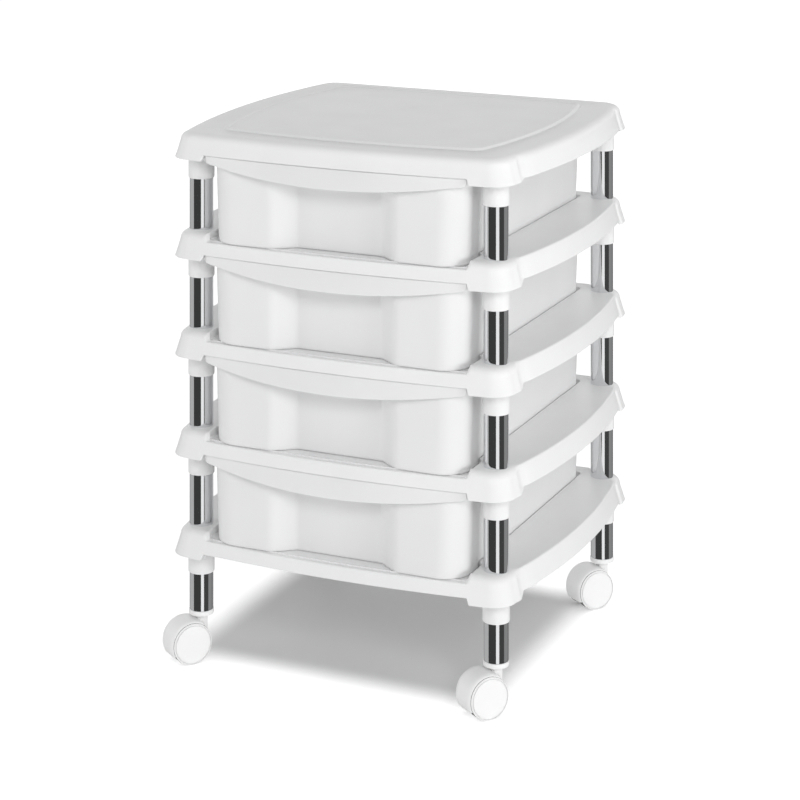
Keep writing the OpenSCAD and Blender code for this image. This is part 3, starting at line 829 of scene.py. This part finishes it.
# %% Helpers for materials
def new_material(name, values):
    """A material with its own shader, and constant values on the shader's sockets."""
    material = bpy.data.materials.new(name)
    material.use_nodes = True
    nodes = material.node_tree.nodes
    for title, value in values.items():
        nodes["Principled BSDF"].inputs[title].default_value = value
    return material, nodes, material.node_tree.links, nodes["Principled BSDF"]


def group_node(nodes, group, values):
    """A node that uses a shared group with its own values."""
    node = nodes.new("ShaderNodeGroup")
    node.node_tree = group
    for title, value in values.items():
        node.inputs[title].default_value = value
    return node.outputs


def surface(nodes, links, shader, tone, pattern, bump, height):
    """Ties a colour and a pattern's roughness and height to the shader; height is in metres."""
    links.new(tone, shader.inputs["Base Color"])
    links.new(pattern["Roughness"], shader.inputs["Roughness"])
    ripple = nodes.new("ShaderNodeBump")
    ripple.inputs["Strength"].default_value = bump
    ripple.inputs["Distance"].default_value = height
    links.new(pattern["Height"], ripple.inputs["Height"])
    links.new(ripple.outputs["Normal"], shader.inputs["Normal"])


# %% Plastics
def plastic(name, colour, deep, gloss, spread, grain, bump, marks=0.05, dirt=(0.62, 0.62, 0.61)):
    """A moulded plastic: skin colour with faint marks, varied gloss and a fine ripple."""
    material, nodes, links, shader = new_material(name, {"IOR": 1.49})
    skin = group_node(nodes, skin_group, {
        "Colour": (*colour, 1), "Deep Colour": (*deep, 1),
        "Gloss": gloss, "Gloss Spread": spread, "Grain": grain,
    })
    worn = group_node(nodes, marks_group, {"Amount": marks})
    tone = colours_mixed(nodes, links, worn["Mask"], skin["Colour"], dirt)
    surface(nodes, links, shader, tone, skin, bump, 0.0002)
    return material


tray_white = plastic(
    "tray_white", (0.86, 0.86, 0.86), (0.83, 0.83, 0.835),
    gloss=0.35, spread=0.1, grain=0.25, bump=0.1,
)
drawer_white = plastic(
    "drawer_white", (0.83, 0.83, 0.83), (0.80, 0.80, 0.805),
    gloss=0.42, spread=0.15, grain=0.35, bump=0.14,
)
caster_white = plastic(
    "caster_white", (0.9, 0.9, 0.9), (0.88, 0.88, 0.88),
    gloss=0.34, spread=0.08, grain=0.2, bump=0.08, marks=0.08,
)
tread_grey = plastic(
    "tread_grey", (0.06, 0.06, 0.063), (0.045, 0.045, 0.047),
    gloss=0.55, spread=0.2, grain=1.0, bump=0.25, marks=0.3, dirt=(0.2, 0.2, 0.19),
)
print("plastics:", tray_white.name, drawer_white.name, caster_white.name, tread_grey.name)

# %% [markdown]
# ## Bright metal
# Chromed tube is polished along its length: very fine lines, hardly rough. The stems and axles
# are plain zinced steel, greyer and duller. Both take their lines from one group.
# %% Drawn metal
def drawn_lines():
    """Roughness and height of metal that was drawn or polished along Z."""
    group, given, result = new_group(
        "drawn_lines", [("Base", NUMBER, 0.05), ("Spread", NUMBER, 0.05)],
        [("Roughness", NUMBER), ("Height", NUMBER)],
    )
    nodes, links = group.nodes, group.links
    place = nodes.new("ShaderNodeTexCoord").outputs["Object"]
    lines = noise(nodes, links, place, 260.0, 4.0, (1.0, 1.0, 0.02))
    cloud = noise(nodes, links, place, 30.0, 3.0)
    both = mixed(nodes, links, "MULTIPLY", lines, cloud)
    spread, least = given.outputs["Spread"], given.outputs["Base"]
    links.new(mixed(nodes, links, "MULTIPLY_ADD", both, spread, least), result.inputs["Roughness"])
    links.new(lines, result.inputs["Height"])
    return group


lines_group = drawn_lines()


def metal(name, colour, base, spread, bump):
    """A bright metal with fine lines and faint clouds."""
    material, nodes, links, shader = new_material(name, {"Metallic": 1.0})
    lines = group_node(nodes, lines_group, {"Base": base, "Spread": spread})
    worn = group_node(nodes, marks_group, {"Size": 90, "Amount": 0.2})
    dull = tuple(0.85 * c for c in colour)
    tone = colours_mixed(nodes, links, worn["Mask"], colour, dull)
    surface(nodes, links, shader, tone, lines, bump, 0.00005)
    return material


chrome = metal("chrome", (0.78, 0.79, 0.80), base=0.04, spread=0.06, bump=0.06)
zinced_steel = metal("zinced_steel", (0.55, 0.55, 0.56), base=0.28, spread=0.2, bump=0.2)
print("metals:", chrome.name, zinced_steel.name)

# %% [markdown]
# ## Put the tower together
# Each finished model is copied to its places, every copy with its own mesh. A piece rides on the
# body that carries it, and stands for the plain solid of the same place.
# %% Finishing a piece
SMOOTH_ANGLE = 32
DRAWER_SEAT = 7.6
finished = []


def finish(piece, body, node, material):
    """Smooths a piece, gives it its material, ties it to its body and hides the solid it stands
    for.
    """
    pick(piece)
    bpy.ops.object.shade_smooth_by_angle(angle=radians(SMOOTH_ANGLE))
    if not piece.data.materials:
        piece.data.materials.append(material)
    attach(piece, body)
    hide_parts(node)
    finished.append(piece.name)
    return piece


# %% Lid, trays, drawers and tubes
placed(finished_lid, at=(0, middle_y, lid_top))
finish(finished_lid, "tower", "top_cover", tray_white)
for k in LEVELS:
    level = shelf_top[k]
    tray = placed(copied(first_tray, f"shelf_tray_{k}"), at=(0, middle_y, level))
    finish(tray, "tower", f"tray_{k}", tray_white)
    tub = placed(copied(first_drawer, f"drawer_tub_{k}"), at=(0, middle_y, level - DRAWER_SEAT))
    finish(tub, f"drawer_{k}_body", f"drawer_{k}", drawer_white)
for model in (first_tray, first_drawer):
    bpy.data.objects.remove(model)

for corner in CORNERS:
    x, y = tube_at[corner]
    for k in LEVELS:
        low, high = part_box(f"post_{k}_{corner}")
        post = placed(tube(f"tube_{k}_{corner}", (high.z - low.z) / MM), at=(x, y, low.z / MM))
        finish(post, "tower", f"post_{k}_{corner}", chrome)
    low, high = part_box("leg_" + corner)
    leg = placed(tube(f"leg_tube_{corner}", (high.z - low.z) / MM), at=(x, y, low.z / MM))
    finish(leg, "tower", "leg_" + corner, chrome)
print(len(finished), "pieces so far")

# %% Casters
HEADING, WHEEL_OUT, TREAD_R, TREAD_END = -128, 6.1, 20.9, 8.6
for material in (caster_white, tread_grey):
    wheel_model.data.materials.append(material)
for face in wheel_model.data.polygons:
    if hypot(face.center.x, face.center.y) > TREAD_R * MM and face.center.z < TREAD_END * MM:
        face.material_index = 1

for corner in CORNERS:
    x, y = tube_at[corner]
    at = (x, y, 0)
    swivel = "caster_" + corner
    plug = placed(copied(leg_plug, "plug_cap_" + corner), at=at)
    finish(plug, "tower", "plug_" + corner, caster_white)
    stem = placed(copied(caster_stem, "swivel_stem_" + corner), at=at)
    finish(stem, "tower", "stem_" + corner, zinced_steel)
    hood = placed(copied(hood_model, "caster_hood_" + corner), HEADING, at)
    finish(hood, swivel, "hood_" + corner, caster_white)
    axle = placed(copied(wheel_axle, "wheel_axle_" + corner), tip=90, at=(TRAIL, 0, WHEEL_R))
    finish(placed(axle, HEADING, at), swivel, "axle_" + corner, zinced_steel)
    for side, tip, out in (("a", -90, WHEEL_OUT), ("b", 90, -WHEEL_OUT)):
        node = f"wheel_{corner}_{side}"
        wheel = copied(wheel_model, f"roller_{corner}_{side}")
        placed(wheel, tip=tip, at=(TRAIL, out, WHEEL_R))
        finish(placed(wheel, HEADING, at), node + "_body", node, caster_white)
for model in (leg_plug, caster_stem, wheel_axle, hood_model, wheel_model):
    bpy.data.objects.remove(model)
print(len(finished), "pieces in all")

# %% [markdown]
# ## The studio
# The photograph has a pure white ground with one soft grey shadow under the tower. The floor is
# pale and adds some white of its own round the tower, so that the ground reads white. Under the
# tower the glow fades out in a soft box, a painted shadow over the real one, so the shadow stays
# grey. Four broad lamps stand round the tower, and the white surroundings light the tops. Gloss
# mirrors the white surroundings and not the lamps, so that no top is blown out from any side. The
# upright faces are brighter than the tops in the photograph, so the lamps at the sides stand low:
# they skim over the floor and hardly light it.
# %% Floor
# Middle and half width, in metres, of the painted shadow: the soft box under the tower where the
# floor doesn't glow. Then the share of the glow that lights the pieces. The camera sees it in full.
PAINTED_SHADOW_X, PAINTED_SHADOW_Y, GLOW_AS_LIGHT = (-0.022, 0.168), (0.018, 0.152), 0.4
nothing_selected()
bpy.ops.mesh.primitive_plane_add(size=14)
floor = bpy.context.object
floor.name = "studio_floor"
floor_paint, paint, wires, base = new_material("studio_floor", {
    "Base Color": (0.74, 0.74, 0.74, 1), "Roughness": 1.0, "Specular IOR Level": 0.0,
    "Emission Color": (1, 1, 1, 1),
})
rays = paint.new("ShaderNodeLightPath")
spot_on_floor = paint.new("ShaderNodeSeparateXYZ")
wires.new(paint.new("ShaderNodeTexCoord").outputs["Object"], spot_on_floor.inputs[0])
beyond = []
for axis, (centre, half) in (("X", PAINTED_SHADOW_X), ("Y", PAINTED_SHADOW_Y)):
    offset = mixed(paint, wires, "SUBTRACT", spot_on_floor.outputs[axis], centre)
    reach = paint.new("ShaderNodeMath")
    reach.operation = "ABSOLUTE"
    wires.new(offset, reach.inputs[0])
    beyond.append(mixed(paint, wires, "SUBTRACT", reach.outputs[0], half))
# No glow inside the box and full glow outside it: the dark patch is a painted shadow, laid over the
# shadow that the lamps really cast.
glow = paint.new("ShaderNodeMapRange")
glow.interpolation_type = "SMOOTHSTEP"
for title, value in (("From Min", -0.025), ("From Max", 0.034), ("To Min", 0.0), ("To Max", 0.7)):
    glow.inputs[title].default_value = value
wires.new(mixed(paint, wires, "MAXIMUM", *beyond), glow.inputs["Value"])
by_camera = rays.outputs["Is Camera Ray"]
seen = mixed(paint, wires, "MULTIPLY_ADD", by_camera, 1 - GLOW_AS_LIGHT, GLOW_AS_LIGHT)
strength = mixed(paint, wires, "MULTIPLY", seen, glow.outputs["Result"])
wires.new(strength, base.inputs["Emission Strength"])
floor.data.materials.append(floor_paint)
floor.visible_glossy = False

# %% World and lamps
world = bpy.data.worlds.new("studio")
bpy.context.scene.world = world
world.use_nodes = True
air, cords = world.node_tree.nodes, world.node_tree.links
WORLD_LIGHT, AIM = 0.45, Vector((0, 0, 0.3))
kinds = air.new("ShaderNodeLightPath").outputs
backdrop = mixed(air, cords, "MAXIMUM", kinds["Is Camera Ray"], kinds["Is Glossy Ray"])
level = mixed(air, cords, "MULTIPLY_ADD", backdrop, 1 - WORLD_LIGHT, WORLD_LIGHT)
air["Background"].inputs["Color"].default_value = (1, 1, 1, 1)
cords.new(level, air["Background"].inputs["Strength"])


def area_lamp(name, place, size, watts):
    """A soft rectangular lamp that looks at the tower and isn't mirrored in gloss."""
    lamp = bpy.data.lights.new(name, "AREA")
    lamp.shape = "RECTANGLE"
    lamp.size, lamp.size_y = size
    lamp.energy = watts
    holder = bpy.data.objects.new(name, lamp)
    bpy.context.scene.collection.objects.link(holder)
    holder.location = place
    holder.visible_glossy = False
    holder.rotation_euler = (AIM - Vector(place)).to_track_quat("-Z", "Y").to_euler()
    print(name, watts, "W")


area_lamp("key_lamp", (2.3, -3.45, 2.5), (1.8, 1.2), 59.5)
area_lamp("side_lamp", (3.85, -1.0, 0.5), (1.8, 0.8), 50)
area_lamp("fill_lamp", (-3.5, -2.1, 0.5), (2.0, 0.8), 33)
area_lamp("back_lamp", (-2.4, 3.5, 1.6), (2.0, 1.2), 22)

# %% [markdown]
# ## Curtains for the chrome
# A mirror in a white room is white. Photographers hang dark and grey curtains round the set, out
# of the picture, and the tubes then show dark bands with one bright stripe. These curtains are
# seen by mirrors alone: they cast no shadow and take no light from the white plastic. The floor
# isn't seen by mirrors, so the bands run down the whole tube, as in the photograph.
# %% Hang the curtains
CURTAIN_AT, CURTAIN_H, CURTAIN_Z = 5.0, 6.5, -2.75


def curtain(name, start, end, grey):
    """An upright sheet between two bearings from the tower, in degrees from +X."""
    cloth = new_material(name, {
        "Base Color": (0, 0, 0, 1), "Specular IOR Level": 0.0,
        "Emission Color": (1, 1, 1, 1), "Emission Strength": grey,
    })[0]
    half, middle = radians(end - start) / 2, radians(start + end) / 2
    nothing_selected()
    bpy.ops.mesh.primitive_plane_add(size=1)
    sheet = bpy.context.object
    sheet.name = name
    reach = CURTAIN_AT * cos(half)
    sheet.scale = (2 * CURTAIN_AT * sin(half), CURTAIN_H, 1)
    sheet.rotation_euler = (radians(90), 0, middle + radians(90))
    sheet.location = (reach * cos(middle), reach * sin(middle), CURTAIN_Z)
    bpy.ops.object.transform_apply(location=True, rotation=True, scale=True)
    sheet.data.materials.append(cloth)
    sheet.visible_camera = sheet.visible_diffuse = sheet.visible_shadow = False


curtains = (
    (-140, -68, 0.05), (-40, 8, 0.06), (8, 48, 0.28),
    (48, 114, 0.24), (114, 168, 0.42), (168, 220, 0.5),
)
for number, (start, end, grey) in enumerate(curtains):
    curtain(f"curtain_{number}", start, end, grey)
print(len(curtains), "curtains")

# %% Count the pieces
print("pieces:", len(finished))
